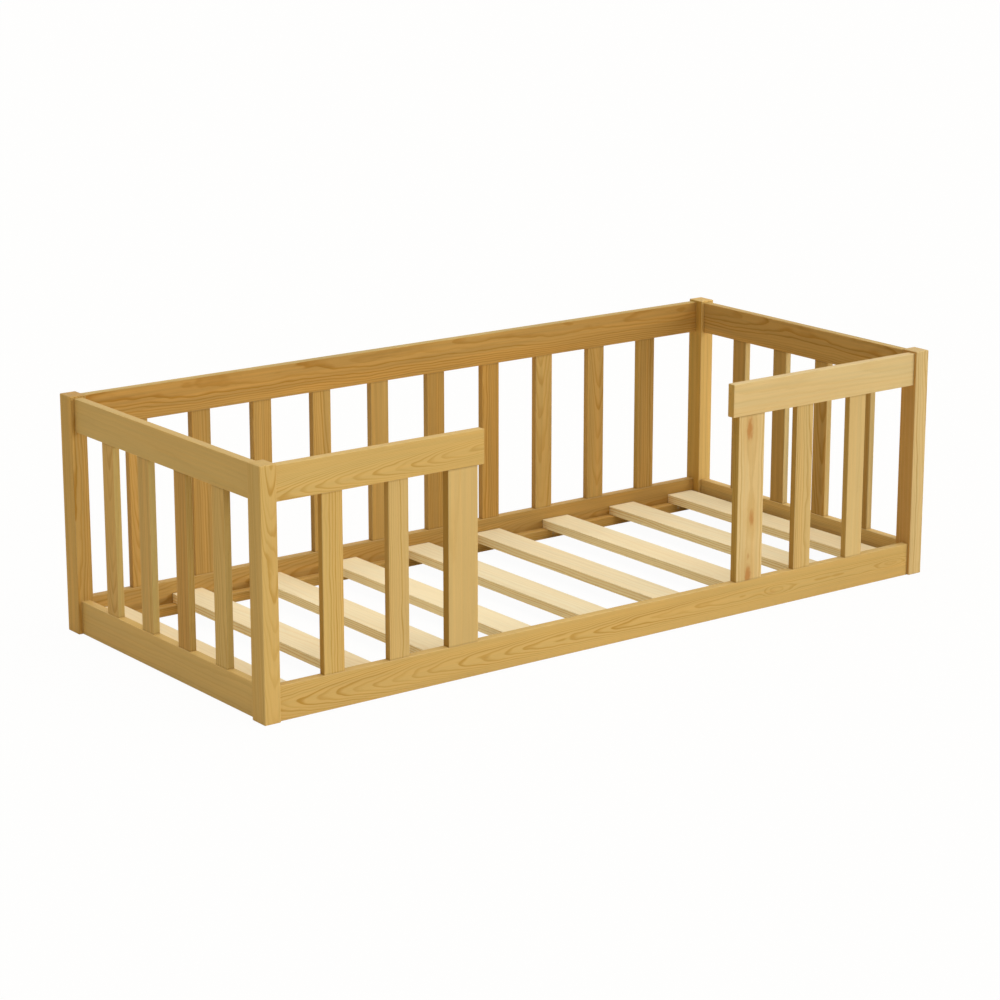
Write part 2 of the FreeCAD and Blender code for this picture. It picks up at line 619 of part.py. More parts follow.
def add_bars():
    """Every upright bar and wide board, with the dowels in their ends."""
    pair = dowel_pair("bar_dowel", "Sizes.bar_dowel_spacing", "0", "0")
    pair_bores = dowel_pair("bar_dowel_bore", "Sizes.bar_dowel_spacing",
                            "Sizes.dowel_play", "Sizes.dowel_end_play")
    board_pair = dowel_pair("board_dowel", "Sizes.board_dowel_spacing", "0", "0")
    board_bores = dowel_pair("board_dowel_bore", "Sizes.board_dowel_spacing",
                             "Sizes.dowel_play", "Sizes.dowel_end_play")
    blanks = add_rear_bars(pair, pair_bores)
    for end, line_x in (("left", LEFT_LINE), ("right", RIGHT_LINE)):
        blanks.update(add_end_bars(end, line_x, pair, pair_bores))
    for side, inner_x, sign in (("left", INNER_LEFT, "+"), ("right", INNER_RIGHT, "-")):
        blanks.update(add_guard(side, inner_x, sign, pair, pair_bores, board_pair, board_bores))
    return blanks


def build_bed():
    """Every piece of the bed, finished and checked."""
    blanks = {**add_posts(), **add_rails()}
    add_rail_joints()
    blanks.update(add_bars())
    blanks.update(add_ledgers())
    middles = slat_spots()
    blanks.update(add_slats(middles))
    add_ledger_screws(middles)
    for name, blank in blanks.items():
        drill(name, blank)
    doc.recompute()
    check()


sheet = make_sheet()
build_bed()

os.makedirs("parts", exist_ok=True)
for part in parts:
    part.Shape.exportStep(f"parts/{part.Label}.step")
print(f"{len(parts)} nodes written")
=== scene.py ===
import math

import bpy
from bpy.props import FloatProperty, FloatVectorProperty, PointerProperty
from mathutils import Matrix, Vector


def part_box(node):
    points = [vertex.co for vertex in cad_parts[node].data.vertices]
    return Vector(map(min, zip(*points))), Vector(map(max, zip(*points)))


bl_info = {
    "name": "Toddler Floor Bed",
    "version": (1, 0, 0),
    "blender": (4, 5, 0),
    "location": "View3D > Sidebar > Floor Bed",
    "description": "Gives a low pine bed its stained and bare timber, its fittings and a plain studio",
    "category": "Object",
}

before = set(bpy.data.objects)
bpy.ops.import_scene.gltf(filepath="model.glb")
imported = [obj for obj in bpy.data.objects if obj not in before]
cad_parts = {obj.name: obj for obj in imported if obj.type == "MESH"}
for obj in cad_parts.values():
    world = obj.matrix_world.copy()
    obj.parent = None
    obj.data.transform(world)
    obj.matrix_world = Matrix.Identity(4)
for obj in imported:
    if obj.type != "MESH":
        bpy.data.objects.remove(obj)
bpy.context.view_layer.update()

# ---------------------------------------------------------------- the bed's pieces

POSTS = ("front_left_post", "front_right_post", "rear_left_post", "rear_right_post")
BOTTOM_RAILS = ("front_bottom_rail", "rear_bottom_rail", "left_bottom_rail", "right_bottom_rail")
TOP_RAILS = ("rear_top_rail", "left_top_rail", "right_top_rail")
GUARD_RAILS = ("left_guard_rail", "right_guard_rail")
GUARD_BOARDS = ("left_guard_board", "right_guard_board")
LEDGERS = ("front_ledger", "rear_ledger")
BOLTS_AND_SCREWS = ("cam_bolts", "ledger_screws")
CAMS = ("cam_housings",)


def named(part):
    """The CAD nodes with this in their names, in alphabetical order."""
    return tuple(sorted(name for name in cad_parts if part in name))


BARS = tuple(name for name in named("_bar_") if not name.endswith("_dowels"))
SLATS = tuple(name for name in named("slat_") if name != "slat_pegs")
DOWELS = named("_dowels") + ("slat_pegs",)

# Every board has a number, which picks its place in the log.  Each kind counts on from its first.
FIRST_POST, FIRST_RAIL, FIRST_GUARD_RAIL, FIRST_GUARD_BOARD = 1, 12, 21, 23
FIRST_BAR, FIRST_LEDGER, FIRST_SLAT = 31, 61, 71

# How a log was sawn into a board.  Pith says how far the pith lies from the board's middle, across
# its width and through its thickness, in metres.  Run says how far the pith line then moves across
# and through the board in each metre of its length, and how much it bows.  Wander says how far the
# rings stray, in metres, rings how wide they are beside the usual ones, figure how strongly the late
# wood shows, and fade how much of it is lost where the rings crowd together beside the arches.
CUTS = {
    "arched": {
        "pith": (0.011, -0.066), "run": (0.0, 0.048, 0.0),
        "wander": 0.016, "rings": 1.0, "figure": 0.85, "fade": 0.5},
    "long arched": {
        "pith": (0.0, -0.045), "run": (0.004, 0.0196, -0.0168),
        "wander": 0.010, "rings": 0.7, "figure": 1.0, "fade": 0.85},
    "side arched": {
        "pith": (0.015, -0.046), "run": (-0.050, 0.042, 0.0),
        "wander": 0.012, "rings": 0.76, "figure": 0.90, "fade": 0.5},
    "short arched": {
        "pith": (-0.008, -0.070), "run": (0.0, 0.042, 0.0),
        "wander": 0.012, "rings": 1.0, "figure": 0.80, "fade": 0.3},
    "wavy": {
        "pith": (0.030, -0.100), "run": (0.0, 0.010, 0.0),
        "wander": 0.014, "rings": 1.0, "figure": 1.0, "fade": 0.0},
    "plain": {
        "pith": (0.030, -0.110), "run": (0.0, 0.010, 0.0),
        "wander": 0.012, "rings": 1.6, "figure": 0.18, "fade": 0.0},
    "faint": {
        "pith": (0.050, -0.100), "run": (0.0, 0.008, 0.0),
        "wander": 0.016, "rings": 1.7, "figure": 0.32, "fade": 0.0},
    "rift": {
        "pith": (0.060, -0.090), "run": (0.0, 0.006, 0.0),
        "wander": 0.012, "rings": 1.0, "figure": 0.80, "fade": 0.0},
    "lined": {
        "pith": (0.044, -0.100), "run": (0.0, 0.002, 0.0),
        "wander": 0.004, "rings": 1.0, "figure": 0.90, "fade": 0.0},
    "heart": {
        "pith": (0.0, -0.072), "run": (0.0, 0.002, 0.0),
        "wander": 0.007, "rings": 1.5, "figure": 1.0, "fade": 0.0},
}
# The bars and slats take these cuts in turn.  The bars skip BAR_CUT_STEP places each time, and one
# more after every full round.
BAR_CUTS = ("rift", "lined", "plain", "lined", "short arched")
BAR_CUT_STEP = 3
SLAT_CUTS = ("plain", "faint", "faint")
# The boards that are cut in another way than the rest of their kind.
BOARD_CUTS = {
    "front_bottom_rail": "long arched",
    "left_guard_rail": "side arched",
    "right_guard_rail": "plain",
    "rear_top_rail": "wavy",
    "rear_bar_02": "lined",
    "rear_bar_04": "wavy",
    "rear_bar_08": "short arched",
    "left_top_rail": "plain",
    "left_bottom_rail": "faint",
    "left_end_bar_1": "wavy",
    "right_top_rail": "wavy",
    "right_bottom_rail": "rift",
    "right_guard_board": "heart",
    "front_left_post": "short arched",
    "front_right_post": "wavy",
    "rear_left_post": "wavy",
    "left_guard_bar_1": "lined",
    "right_guard_bar_1": "plain",
    "right_guard_bar_2": "wavy",
}
# How the boards took the stain, and the light and shade painted on them.  A board has every entry
# that its name starts with, and the later ones go first.  Pale says how far it stays towards bare
# wood; on the boards at the right it paints the sheen of light there.  Red and dark say how much
# redder and darker it is; on the right end, the right top rail and the rear boards they paint the
# shade that falls inside the bed.  Streaks say how much its light and dark streaks differ, lines how
# much more strongly the rings show on its narrow faces, side how much painted light and shade of each
# colour its narrow faces have, beside its wide faces, and end how much light of each colour its ends
# throw back, beside that of its wide faces.
STAIN_AND_PAINTED_LIGHT = {
    # Side on each board is painted light and shade on its narrow faces.
    "": {"pale": 0.0, "red": 0.0, "dark": 0.0, "streaks": 0.2, "lines": 0.55,
         "side": (1.0, 1.0, 1.0), "end": (0.91, 0.88, 0.81)},
    "slat_": {"dark": -0.02, "streaks": 0.12, "lines": 1.0, "side": (1.10, 1.13, 1.12)},
    # Pale on the front right post, the right guard and the right bottom rail paints the sheen of light on
    # the bed's right side.
    "front_right_post": {"pale": 0.28, "dark": -0.03, "side": (0.91, 0.75, 0.55)},
    "left_top_rail": {"side": (0.94, 0.97, 1.03)},
    "left_guard_bar": {"side": (0.82, 0.75, 0.56)},
    "left_guard_bar_2": {"pale": 0.12},
    "left_guard_board": {"pale": 0.13, "side": (0.67, 0.56, 0.30)},
    "right_guard_rail": {"pale": 0.32, "end": (0.84, 0.72, 0.44)},
    "right_guard_bar": {"pale": 0.20, "side": (0.82, 0.74, 0.52)},
    "right_guard_bar_2": {"pale": 0.15},
    "right_guard_board": {"pale": 0.34, "dark": 0.01, "side": (0.74, 0.63, 0.35)},
    "left_end_bar": {"side": (0.93, 1.10, 1.35)},
    "left_end_bar_1": {"dark": -0.06, "side": (0.80, 0.85, 0.90)},
    "left_end_bar_2": {"red": 2.2, "dark": 0.16, "streaks": 0.4},
    "left_end_bar_3": {"red": 0.8, "streaks": 0.4},
    "left_end_bar_4": {"red": 0.9, "dark": -0.03, "streaks": 0.3},
    # Red and dark on the right end bars, the right top rail and the rear boards paint the shade that falls
    # inside the bed.
    "right_end_bar": {"red": 1.0, "dark": 0.18, "streaks": 0.5, "side": (1.30, 1.58, 2.35)},
    "right_top_rail": {"red": 1.4, "dark": 0.07, "streaks": 0.5, "side": (0.95, 1.05, 1.15)},
    "right_bottom_rail": {"pale": 0.06, "dark": -0.09, "streaks": 0.4},
    "rear_": {"red": 1.2, "dark": 0.10, "streaks": 0.5},
    "rear_top_rail": {"red": 2.0, "dark": 0.15, "side": (0.98, 1.20, 1.50)},
    "rear_bottom_rail": {"red": 1.3, "dark": 0.16},
    "rear_left_post": {"dark": 0.16, "side": (1.16, 1.18, 1.12)},
    "rear_right_post": {"red": 0.0, "dark": -0.14, "side": (0.86, 0.78, 0.56)},
    "rear_bar_02": {"dark": 0.21},
    "rear_bar_03": {"dark": 0.13},
    "rear_bar_04": {"dark": 0.14, "side": (0.90, 0.86, 0.76)},
    "rear_bar_06": {"red": 1.7, "dark": 0.19, "side": (1.09, 1.13, 1.25)},
    "rear_bar_07": {"red": 1.9, "dark": 0.07},
    "rear_bar_08": {"red": 0.5, "dark": -0.02, "side": (0.96, 0.86, 0.72)},
    "rear_bar_10": {"red": 1.5, "dark": 0.18, "side": (1.18, 1.20, 1.10)},
}
# Knots, as (along the board from its middle, across it, radius) in metres, how dark they are and
# how far they push the rings, in metres.
BOARD_KNOTS = {
    "right_guard_board": (
        (0.172, -0.006, 0.0125, 1.0, -0.0030), (-0.050, 0.004, 0.0090, 0.9, -0.0024),
        (-0.147, -0.004, 0.0050, 0.7, -0.0016), (-0.195, -0.004, 0.0120, 1.0, -0.0028)),
    "front_bottom_rail": (
        (0.452, -0.004, 0.0050, 0.00, 0.0045), (0.486, -0.004, 0.0065, 0.20, -0.0060),
        (0.885, -0.004, 0.0060, 0.05, -0.0040)),
    "front_left_post": ((0.085, 0.004, 0.0060, 0.35, 0.0040),),
}
# How dark the pooled stain and painted contact shade are at a board's low and high ends, where they butt
# on another board.  The guard rails have one end in a joint with a post and one free end.
BOTH_BUTT, BOTH_FREE = (1.0, 1.0), (0.0, 0.0)
ONE_BUTTS = {"left_guard_rail": (1.0, 0.0), "right_guard_rail": (0.0, 1.0)}


# ---------------------------------------------------------------- sizes and colours to change

class BED_PG_pine(bpy.types.PropertyGroup):
    """Colour and figure of the timber."""

    early_wood: FloatVectorProperty(
        name="Stained early wood", description="Pale part of a growth ring under the honey stain",
        subtype="COLOR", size=3, min=0, max=1, default=(0.636, 0.424, 0.144))
    late_wood: FloatVectorProperty(
        name="Stained late wood", description="Dark line of a growth ring under the honey stain",
        subtype="COLOR", size=3, min=0, max=1, default=(0.480, 0.266, 0.050))
    bare_early_wood: FloatVectorProperty(
        name="Bare early wood", description="Pale part of a growth ring in the unstained slats",
        subtype="COLOR", size=3, min=0, max=1, default=(0.845, 0.710, 0.450))
    bare_late_wood: FloatVectorProperty(
        name="Bare late wood", description="Dark line of a growth ring in the unstained slats",
        subtype="COLOR", size=3, min=0, max=1, default=(0.720, 0.500, 0.210))
    knot: FloatVectorProperty(
        name="Knot", description="Middle of a knot",
        subtype="COLOR", size=3, min=0, max=1, default=(0.500, 0.220, 0.062))
    ring_width: FloatProperty(
        name="Ring width", description="Thickness of one year's growth",
        unit="LENGTH", min=0.001, max=0.03, default=0.0031)
    satin: FloatProperty(
        name="Satin", description="Roughness of the varnished timber",
        subtype="FACTOR", min=0, max=1, default=0.46)


class BED_PG_fittings(bpy.types.PropertyGroup):
    """Colours of the hidden dowels and metal fittings."""

    beech: FloatVectorProperty(
        name="Beech", description="Dowels and pegs",
        subtype="COLOR", size=3, min=0, max=1, default=(0.62, 0.43, 0.26))
    zinc: FloatVectorProperty(
        name="Yellow zinc plating", description="Bolts and screws",
        subtype="COLOR", size=3, min=0, max=1, default=(0.27, 0.17, 0.065))
    cast_zinc: FloatVectorProperty(
        name="Cast zinc", description="Cam housings",
        subtype="COLOR", size=3, min=0, max=1, default=(0.46, 0.46, 0.46))


class BED_PG_studio(bpy.types.PropertyGroup):
    """Camera, light and floor."""

    camera_place: FloatVectorProperty(
        name="Camera", description="Where the camera stands",
        subtype="TRANSLATION", unit="LENGTH", size=3, default=(-4.177, -5.537, 2.101))
    camera_heading: FloatProperty(
        name="Heading", description="How far the camera looks to the right of the bed's +Y",
        subtype="ANGLE", default=math.radians(36.86))
    camera_tilt: FloatProperty(
        name="Tilt", description="How far the camera looks down",
        subtype="ANGLE", default=math.radians(14.9))
    lens: FloatProperty(
        name="Lens", description="Focal length on a sensor 36 mm wide, in millimetres",
        min=10, max=400, default=105.8)
    key_light: FloatProperty(
        name="Key light", description="Strength of the soft lamp to the right of the camera",
        min=0, default=1.75)
    top_light: FloatProperty(
        name="Top light", description="Strength of the soft lamp overhead",
        min=0, default=2.15)
    room_light: FloatProperty(
        name="Room light", description="Even light from all round",
        min=0, default=0.24)
    floor_colour: FloatVectorProperty(
        name="Floor colour", description="Warm white that the floor throws back on the bed",
        subtype="COLOR", size=3, min=0, max=1, default=(0.86, 0.79, 0.62))
    room_colour: FloatVectorProperty(
        name="Room colour", description="Warm white of the even light from all round",
        subtype="COLOR", size=3, min=0, max=1, default=(1.0, 0.97, 0.88))
    floor_width: FloatProperty(
        name="Floor", description="Width of the square floor",
        unit="LENGTH", min=4, default=120)


# ---------------------------------------------------------------- building materials

WHITE = (1.0, 1.0, 1.0, 1.0)
FINER_WAVES = 0.55  # how strong each finer layer of a noise is, beside the one before


def opaque(colour):
    """A colour with its alpha."""
    return (*colour, 1.0)


def mixed(share, first, second):
    """The colour, with its alpha, that lies so far from the first to the second."""
    return opaque(a + (b - a) * share for a, b in zip(first, second))


class NodeBench:
    """Adds shader nodes to a tree.  An input is either a socket to link or a value to set."""

    def __init__(self, tree):
        self.tree = tree

    def add(self, kind, inputs, **settings):
        """A new node with these inputs, found by their names or places, and these settings."""
        node = self.tree.nodes.new(kind)
        for name, value in settings.items():
            setattr(node, name, value)
        for key, value in inputs.items():
            if isinstance(value, bpy.types.NodeSocket):
                self.tree.links.new(value, node.inputs[key])
            else:
                node.inputs[key].default_value = value
        return node

    def feed(self, node, **sockets):
        """Links to a node's inputs, whose names have spaces where the keywords have underscores."""
        for name, socket in sockets.items():
            self.tree.links.new(socket, node.inputs[name.replace("_", " ")])

    def math(self, operation, *values):
        """The result of one operation on numbers."""
        return self.add("ShaderNodeMath", dict(enumerate(values)), operation=operation).outputs[0]

    def weigh(self, start, *terms):
        """Start, plus each term's value times its weight."""
        for value, weight in terms:
            start = self.math("MULTIPLY_ADD", value, weight, start)
        return start

    def vector(self, operation, *values):
        """The result of one operation on vectors."""
        inputs = dict(enumerate(values))
        node = self.add("ShaderNodeVectorMath", inputs, operation=operation)
        return node.outputs["Value" if operation == "LENGTH" else "Vector"]

    def split(self, vector):
        """The three parts of a vector."""
        return self.add("ShaderNodeSeparateXYZ", {0: vector}).outputs[:3]

    def join(self, x, y, z):
        """A vector from its parts."""
        return self.add("ShaderNodeCombineXYZ", {0: x, 1: y, 2: z}).outputs[0]

    def place(self):
        """Where a point of the bed is, in metres."""
        return self.add("ShaderNodeTexCoord", {}).outputs["Object"]

    def noise(self, place, waves, detail=2.0):
        """Noise from -0.5 to 0.5, with so many waves to the metre along each axis."""
        scaled = self.vector("MULTIPLY", place, waves)
        inputs = {"Vector": scaled, "Scale": 1.0, "Detail": detail, "Roughness": FINER_WAVES}
        value = self.add("ShaderNodeTexNoise", inputs).outputs["Fac"]
        return self.math("SUBTRACT", value, 0.5)

    def rise(self, value, start, end):
        """0 before start, 1 after end, and a smooth rise between them."""
        inputs = {"Value": value, "From Min": start, "From Max": end}
        return self.add("ShaderNodeMapRange", inputs, interpolation_type="SMOOTHSTEP").outputs[0]

    def fall(self, value, start, end):
        """1 before start, 0 after end, and a smooth fall between them."""
        return self.math("SUBTRACT", 1.0, self.rise(value, start, end))

    # A mix node's inputs are found by their places, because its numbers and colours share their names.

    def choose(self, share, first, second):
        """A number that goes from the first to the second."""
        return self.add("ShaderNodeMix", {0: share, 2: first, 3: second}).outputs[0]

    def blend(self, share, first, second):
        """A colour that goes from the first to the second."""
        node = self.add("ShaderNodeMix", {0: share, 6: first, 7: second}, data_type="RGBA")
        return node.outputs[2]

    def brighten(self, colour, factor):
        """A colour times a number."""
        node = self.add("ShaderNodeVectorMath", {0: colour, "Scale": factor}, operation="SCALE")
        return node.outputs[0]


def new_group(name, inputs, outputs):
    """The bench of an empty node group with these sockets, listed by kind, and its inputs by name."""
    tree = bpy.data.node_groups.new(name, "ShaderNodeTree")
    for in_out, kinds in (("INPUT", inputs), ("OUTPUT", outputs)):
        for kind, labels in kinds.items():
            for label in labels:
                tree.interface.new_socket(label, in_out=in_out, socket_type="NodeSocket" + kind)
    return NodeBench(tree), tree.nodes.new("NodeGroupInput").outputs


def close_group(bench, **results):
    """Links the group's outputs and gives the finished group."""
    bench.feed(bench.tree.nodes.new("NodeGroupOutput"), **results)
    return bench.tree


def kept_group(name, make):
    """The node group of that name, made on first use."""
    return bpy.data.node_groups.get(name) or make()


def new_material(name):
    """An empty material, its bench and its shader."""
    material = bpy.data.materials.new(name)
    material.use_nodes = True
    bench = NodeBench(material.node_tree)
    return material, bench, material.node_tree.nodes["Principled BSDF"]


def surface(bench, shader, colour, roughness, height, strength, depth):
    """Gives a shader its colour and roughness, and a bump of this strength and depth in metres."""
    bump = bench.add("ShaderNodeBump", {"Strength": strength, "Distance": depth, "Height": height})
    bench.feed(shader, Base_Color=colour, Roughness=roughness, Normal=bump.outputs["Normal"])


def dress(names, material):
    """Puts a material on CAD nodes in place of their own."""
    for name in names:
        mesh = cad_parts[name].data
        mesh.materials.clear()
        mesh.materials.append(material)


# ---------------------------------------------------------------- knots

# Distances from a knot are in its radii.  They count less along the board and through it, because a
# knot is drawn out along the grain and runs through.  A pair says where its core, or its halo,
# starts to fade and where it has gone.
KNOT_STRETCH = (0.36, 1.0, 0.25)
KNOT_WAVES = (60, 160, 60)
KNOT_WOBBLE = 0.9
KNOT_BENDS_TO = 2.6
KNOT_CORE = (0.35, 1.15)
KNOT_HALO = (0.9, 3.2)
FAINTEST_HALO = 0.25


def knot_group():
    """A branch that runs through the board: its dark core, its halo and how it bends the rings."""
    inputs = {"Vector": ("Place", "Centre"), "Float": ("Radius", "Darkness", "Push")}
    bench, given = new_group("Knot", inputs, {"Float": ("Bend", "Core", "Halo")})
    away = bench.vector("SUBTRACT", given["Place"], given["Centre"])
    away = bench.vector("MULTIPLY", away, KNOT_STRETCH)
    wobble = bench.math("MULTIPLY", bench.noise(given["Place"], KNOT_WAVES), KNOT_WOBBLE)
    reach = bench.math("DIVIDE", bench.vector("LENGTH", away), given["Radius"])
    reach = bench.math("ADD", reach, wobble)
    # The push is strongest in the middle and falls away outwards as a smooth hill.
    squared = bench.math("POWER", bench.math("DIVIDE", reach, KNOT_BENDS_TO), 2.0)
    hump = bench.math("POWER", math.e, bench.math("MULTIPLY", squared, -1.0))
    core = bench.math("MULTIPLY", bench.fall(reach, *KNOT_CORE), given["Darkness"])
    shade = bench.weigh(FAINTEST_HALO, (given["Darkness"], 1.0 - FAINTEST_HALO))
    halo = bench.math("MULTIPLY", bench.fall(reach, *KNOT_HALO), shade)
    return close_group(bench, Bend=bench.math("MULTIPLY", hump, given["Push"]), Core=core, Halo=halo)


def board_knots(bench, place, knots):
    """The summed bend of a board's knots, and the strongest core and halo."""
    bend, core, halo = 0.0, 0.0, 0.0
    for along, across, radius, darkness, push in knots:
        inputs = {"Place": place, "Centre": (along, across, 0.0), "Radius": radius,
                  "Darkness": darkness, "Push": push}
        node = bench.add("ShaderNodeGroup", inputs, node_tree=kept_group("Knot", knot_group))
        bend = bench.math("ADD", bend, node.outputs["Bend"])
        core = bench.math("MAXIMUM", core, node.outputs["Core"])
        halo = bench.math("MAXIMUM", halo, node.outputs["Halo"])
    return bend, core, halo


# ---------------------------------------------------------------- pine

# A board's number sets its seed, which moves its patterns, in metres, and its rings, in years.  The
# number also sets how light the board is.
SEED_START, SEED_STEP = 1.37, 0.619
SEED_SHIFT = (1.71, 0.83, 0.37)
SEED_YEARS = 7.3
TONE_SWING, TONE_STEP = 0.03, 2.4

# The patterns in the wood: how many waves each has to the metre, along the board and across it, and
# how many finer layers.
PATTERNS = {
    "wander": (2.6, 11, 1.0),
    "waver": (16, 44, 1.0),
    "fibre": (9, 420, 3.0),
    "streak": (1.8, 90, 2.0),
    "blotch": (2.6, 7, 2.0),
    "flush": (1.3, 16, 1.0),
    "canal": (55, 900, 1.0),
}

# The rings.  A pair says where something starts and where it is complete.
WAVER_DEPTH = 0.0030  # in metres
CROWDED_RINGS = (0.35, 0.75)  # how far to the side of the pith, as a share of the way to it
LATE_WOOD_GROWS = (0.40, 0.86)  # in years
LATE_WOOD_STOPS = (0.88, 1.0)
FAINTEST_YEAR = 0.20  # how strongly the late wood of the weakest year shows
CANAL_SHOWS = (0.16, 0.26)  # in the height of its noise

# How far in from an edge, a face or a butted end its look stays full and where it ends, in metres.
EDGE_REACH, EDGE_WOBBLE = (0.0002, 0.0018), 0.003
FACE_REACH = (0.0001, 0.0008)
JOINT_REACH = (0.0012, 0.0046)

# How much of a knot's halo and core, of worn edges with their painted highlight and of the pooled stain
# and painted contact shade in joints shows.
HALO_SHARE, CORE_SHARE, WORN_AND_HIGHLIGHT_SHARE, JOINT_SHARE = 0.30, 0.85, 0.22, 0.3
LATE_WOOD_PALES = 0.7  # how much of a board's paleness its late wood has
WORN_AND_HIGHLIGHT_PALES = 0.7  # how far a worn edge with its painted highlight lies towards bare wood
JOINT_DARKENS = 0.35  # how far the pooled stain and painted contact shade in a joint lie from late wood towards black

# What the patterns add to a board's redness, light, roughness and height, and what redness takes
# from its green and blue.
FLUSH_RED, STREAK_RED = 1.6, 1.0
RED_ON_GREEN_AND_BLUE = (-0.07, -0.16)
FIBRE_LIGHT, BLOTCH_LIGHT, CANAL_LIGHT = 0.14, 0.14, -0.10
LATE_WOOD_ROUGH, FIBRE_ROUGH, EDGE_ROUGH = -0.08, 0.16, 0.06
LATE_WOOD_HEIGHT, CANAL_HEIGHT = 0.35, -0.6
PINE_BUMP, PINE_DEPTH = 0.35, 0.0003  # the strength of the bump, and its depth in metres
PINE_SHINE = 0.06
BARE_WOOD_ROUGH = 0.14  # how much rougher bare wood is than varnished wood


def pattern(bench, name, grain):
    """One of the patterns in the wood."""
    along, across, detail = PATTERNS[name]
    return bench.noise(grain, (along, across, across), detail)


def late_wood(bench, given, grain):
    """How strongly the late wood shows, in rings about a pith line that climbs through the board."""
    along, across, through = bench.split(given["Place"])
    pith_across, pith_through = bench.split(given["Pith"])[1:]
    drift, climb, bow = bench.split(given["Run"])
    side = bench.math("SUBTRACT", across, bench.weigh(pith_across, (along, drift)))
    climb = bench.weigh(climb, (along, bow))
    depth = bench.math("SUBTRACT", through, bench.weigh(pith_through, (along, climb)))
    radius = bench.vector("LENGTH", bench.join(side, depth, 0.0))
    aside = bench.math("DIVIDE", bench.math("ABSOLUTE", side), radius)
    lost = bench.math("MULTIPLY", bench.rise(aside, *CROWDED_RINGS), given["Fade"])

    wander = bench.math("MULTIPLY", pattern(bench, "wander", grain), given["Wander"])
    waver = bench.math("MULTIPLY", pattern(bench, "waver", grain), WAVER_DEPTH)
    for stray in (wander, waver, given["Bend"]):
        radius = bench.math("ADD", radius, stray)
    years = bench.math("DIVIDE", radius, given["Ring Width"])
    season = bench.math("FRACT", years)
    year = bench.math("ADD", bench.math("FLOOR", years), bench.math("MULTIPLY", given["Seed"], SEED_YEARS))
    vigour = bench.add("ShaderNodeTexWhiteNoise", {"W": year}, noise_dimensions="1D").outputs["Value"]
    grown, stopped = bench.rise(season, *LATE_WOOD_GROWS), bench.rise(season, *LATE_WOOD_STOPS)
    late = bench.math("SUBTRACT", grown, stopped)
    late = bench.math("MULTIPLY", late, bench.weigh(FAINTEST_YEAR, (vigour, 1.0 - FAINTEST_YEAR)))
    return bench.math("MULTIPLY", late, bench.math("SUBTRACT", 1.0, lost))


def board_faces(bench, given, streak):
    """Where the board has its worn edges with their painted highlight, its narrow faces, its ends and its
    butted ends.
    """
    inset = bench.vector("SUBTRACT", given["Half Size"], bench.vector("ABSOLUTE", given["Place"]))
    from_end, from_side, from_face = bench.split(inset)
    # The second smallest distance to a face is the distance to the nearest edge.
    low = bench.math("MINIMUM", from_end, from_side)
    high = bench.math("MAXIMUM", from_end, from_side)
    from_edge = bench.math("MAXIMUM", low, bench.math("MINIMUM", high, from_face))
    edge = bench.fall(bench.weigh(from_edge, (streak, EDGE_WOBBLE)), *EDGE_REACH)
    side = bench.fall(from_side, *FACE_REACH)
    end = bench.fall(from_end, *FACE_REACH)
    in_high_half = bench.math("GREATER_THAN", bench.split(given["Place"])[0], 0.0)
    butted = bench.choose(in_high_half, given["Low Joint"], given["High Joint"])
    return edge, side, end, bench.math("MULTIPLY", bench.fall(from_end, *JOINT_REACH), butted)


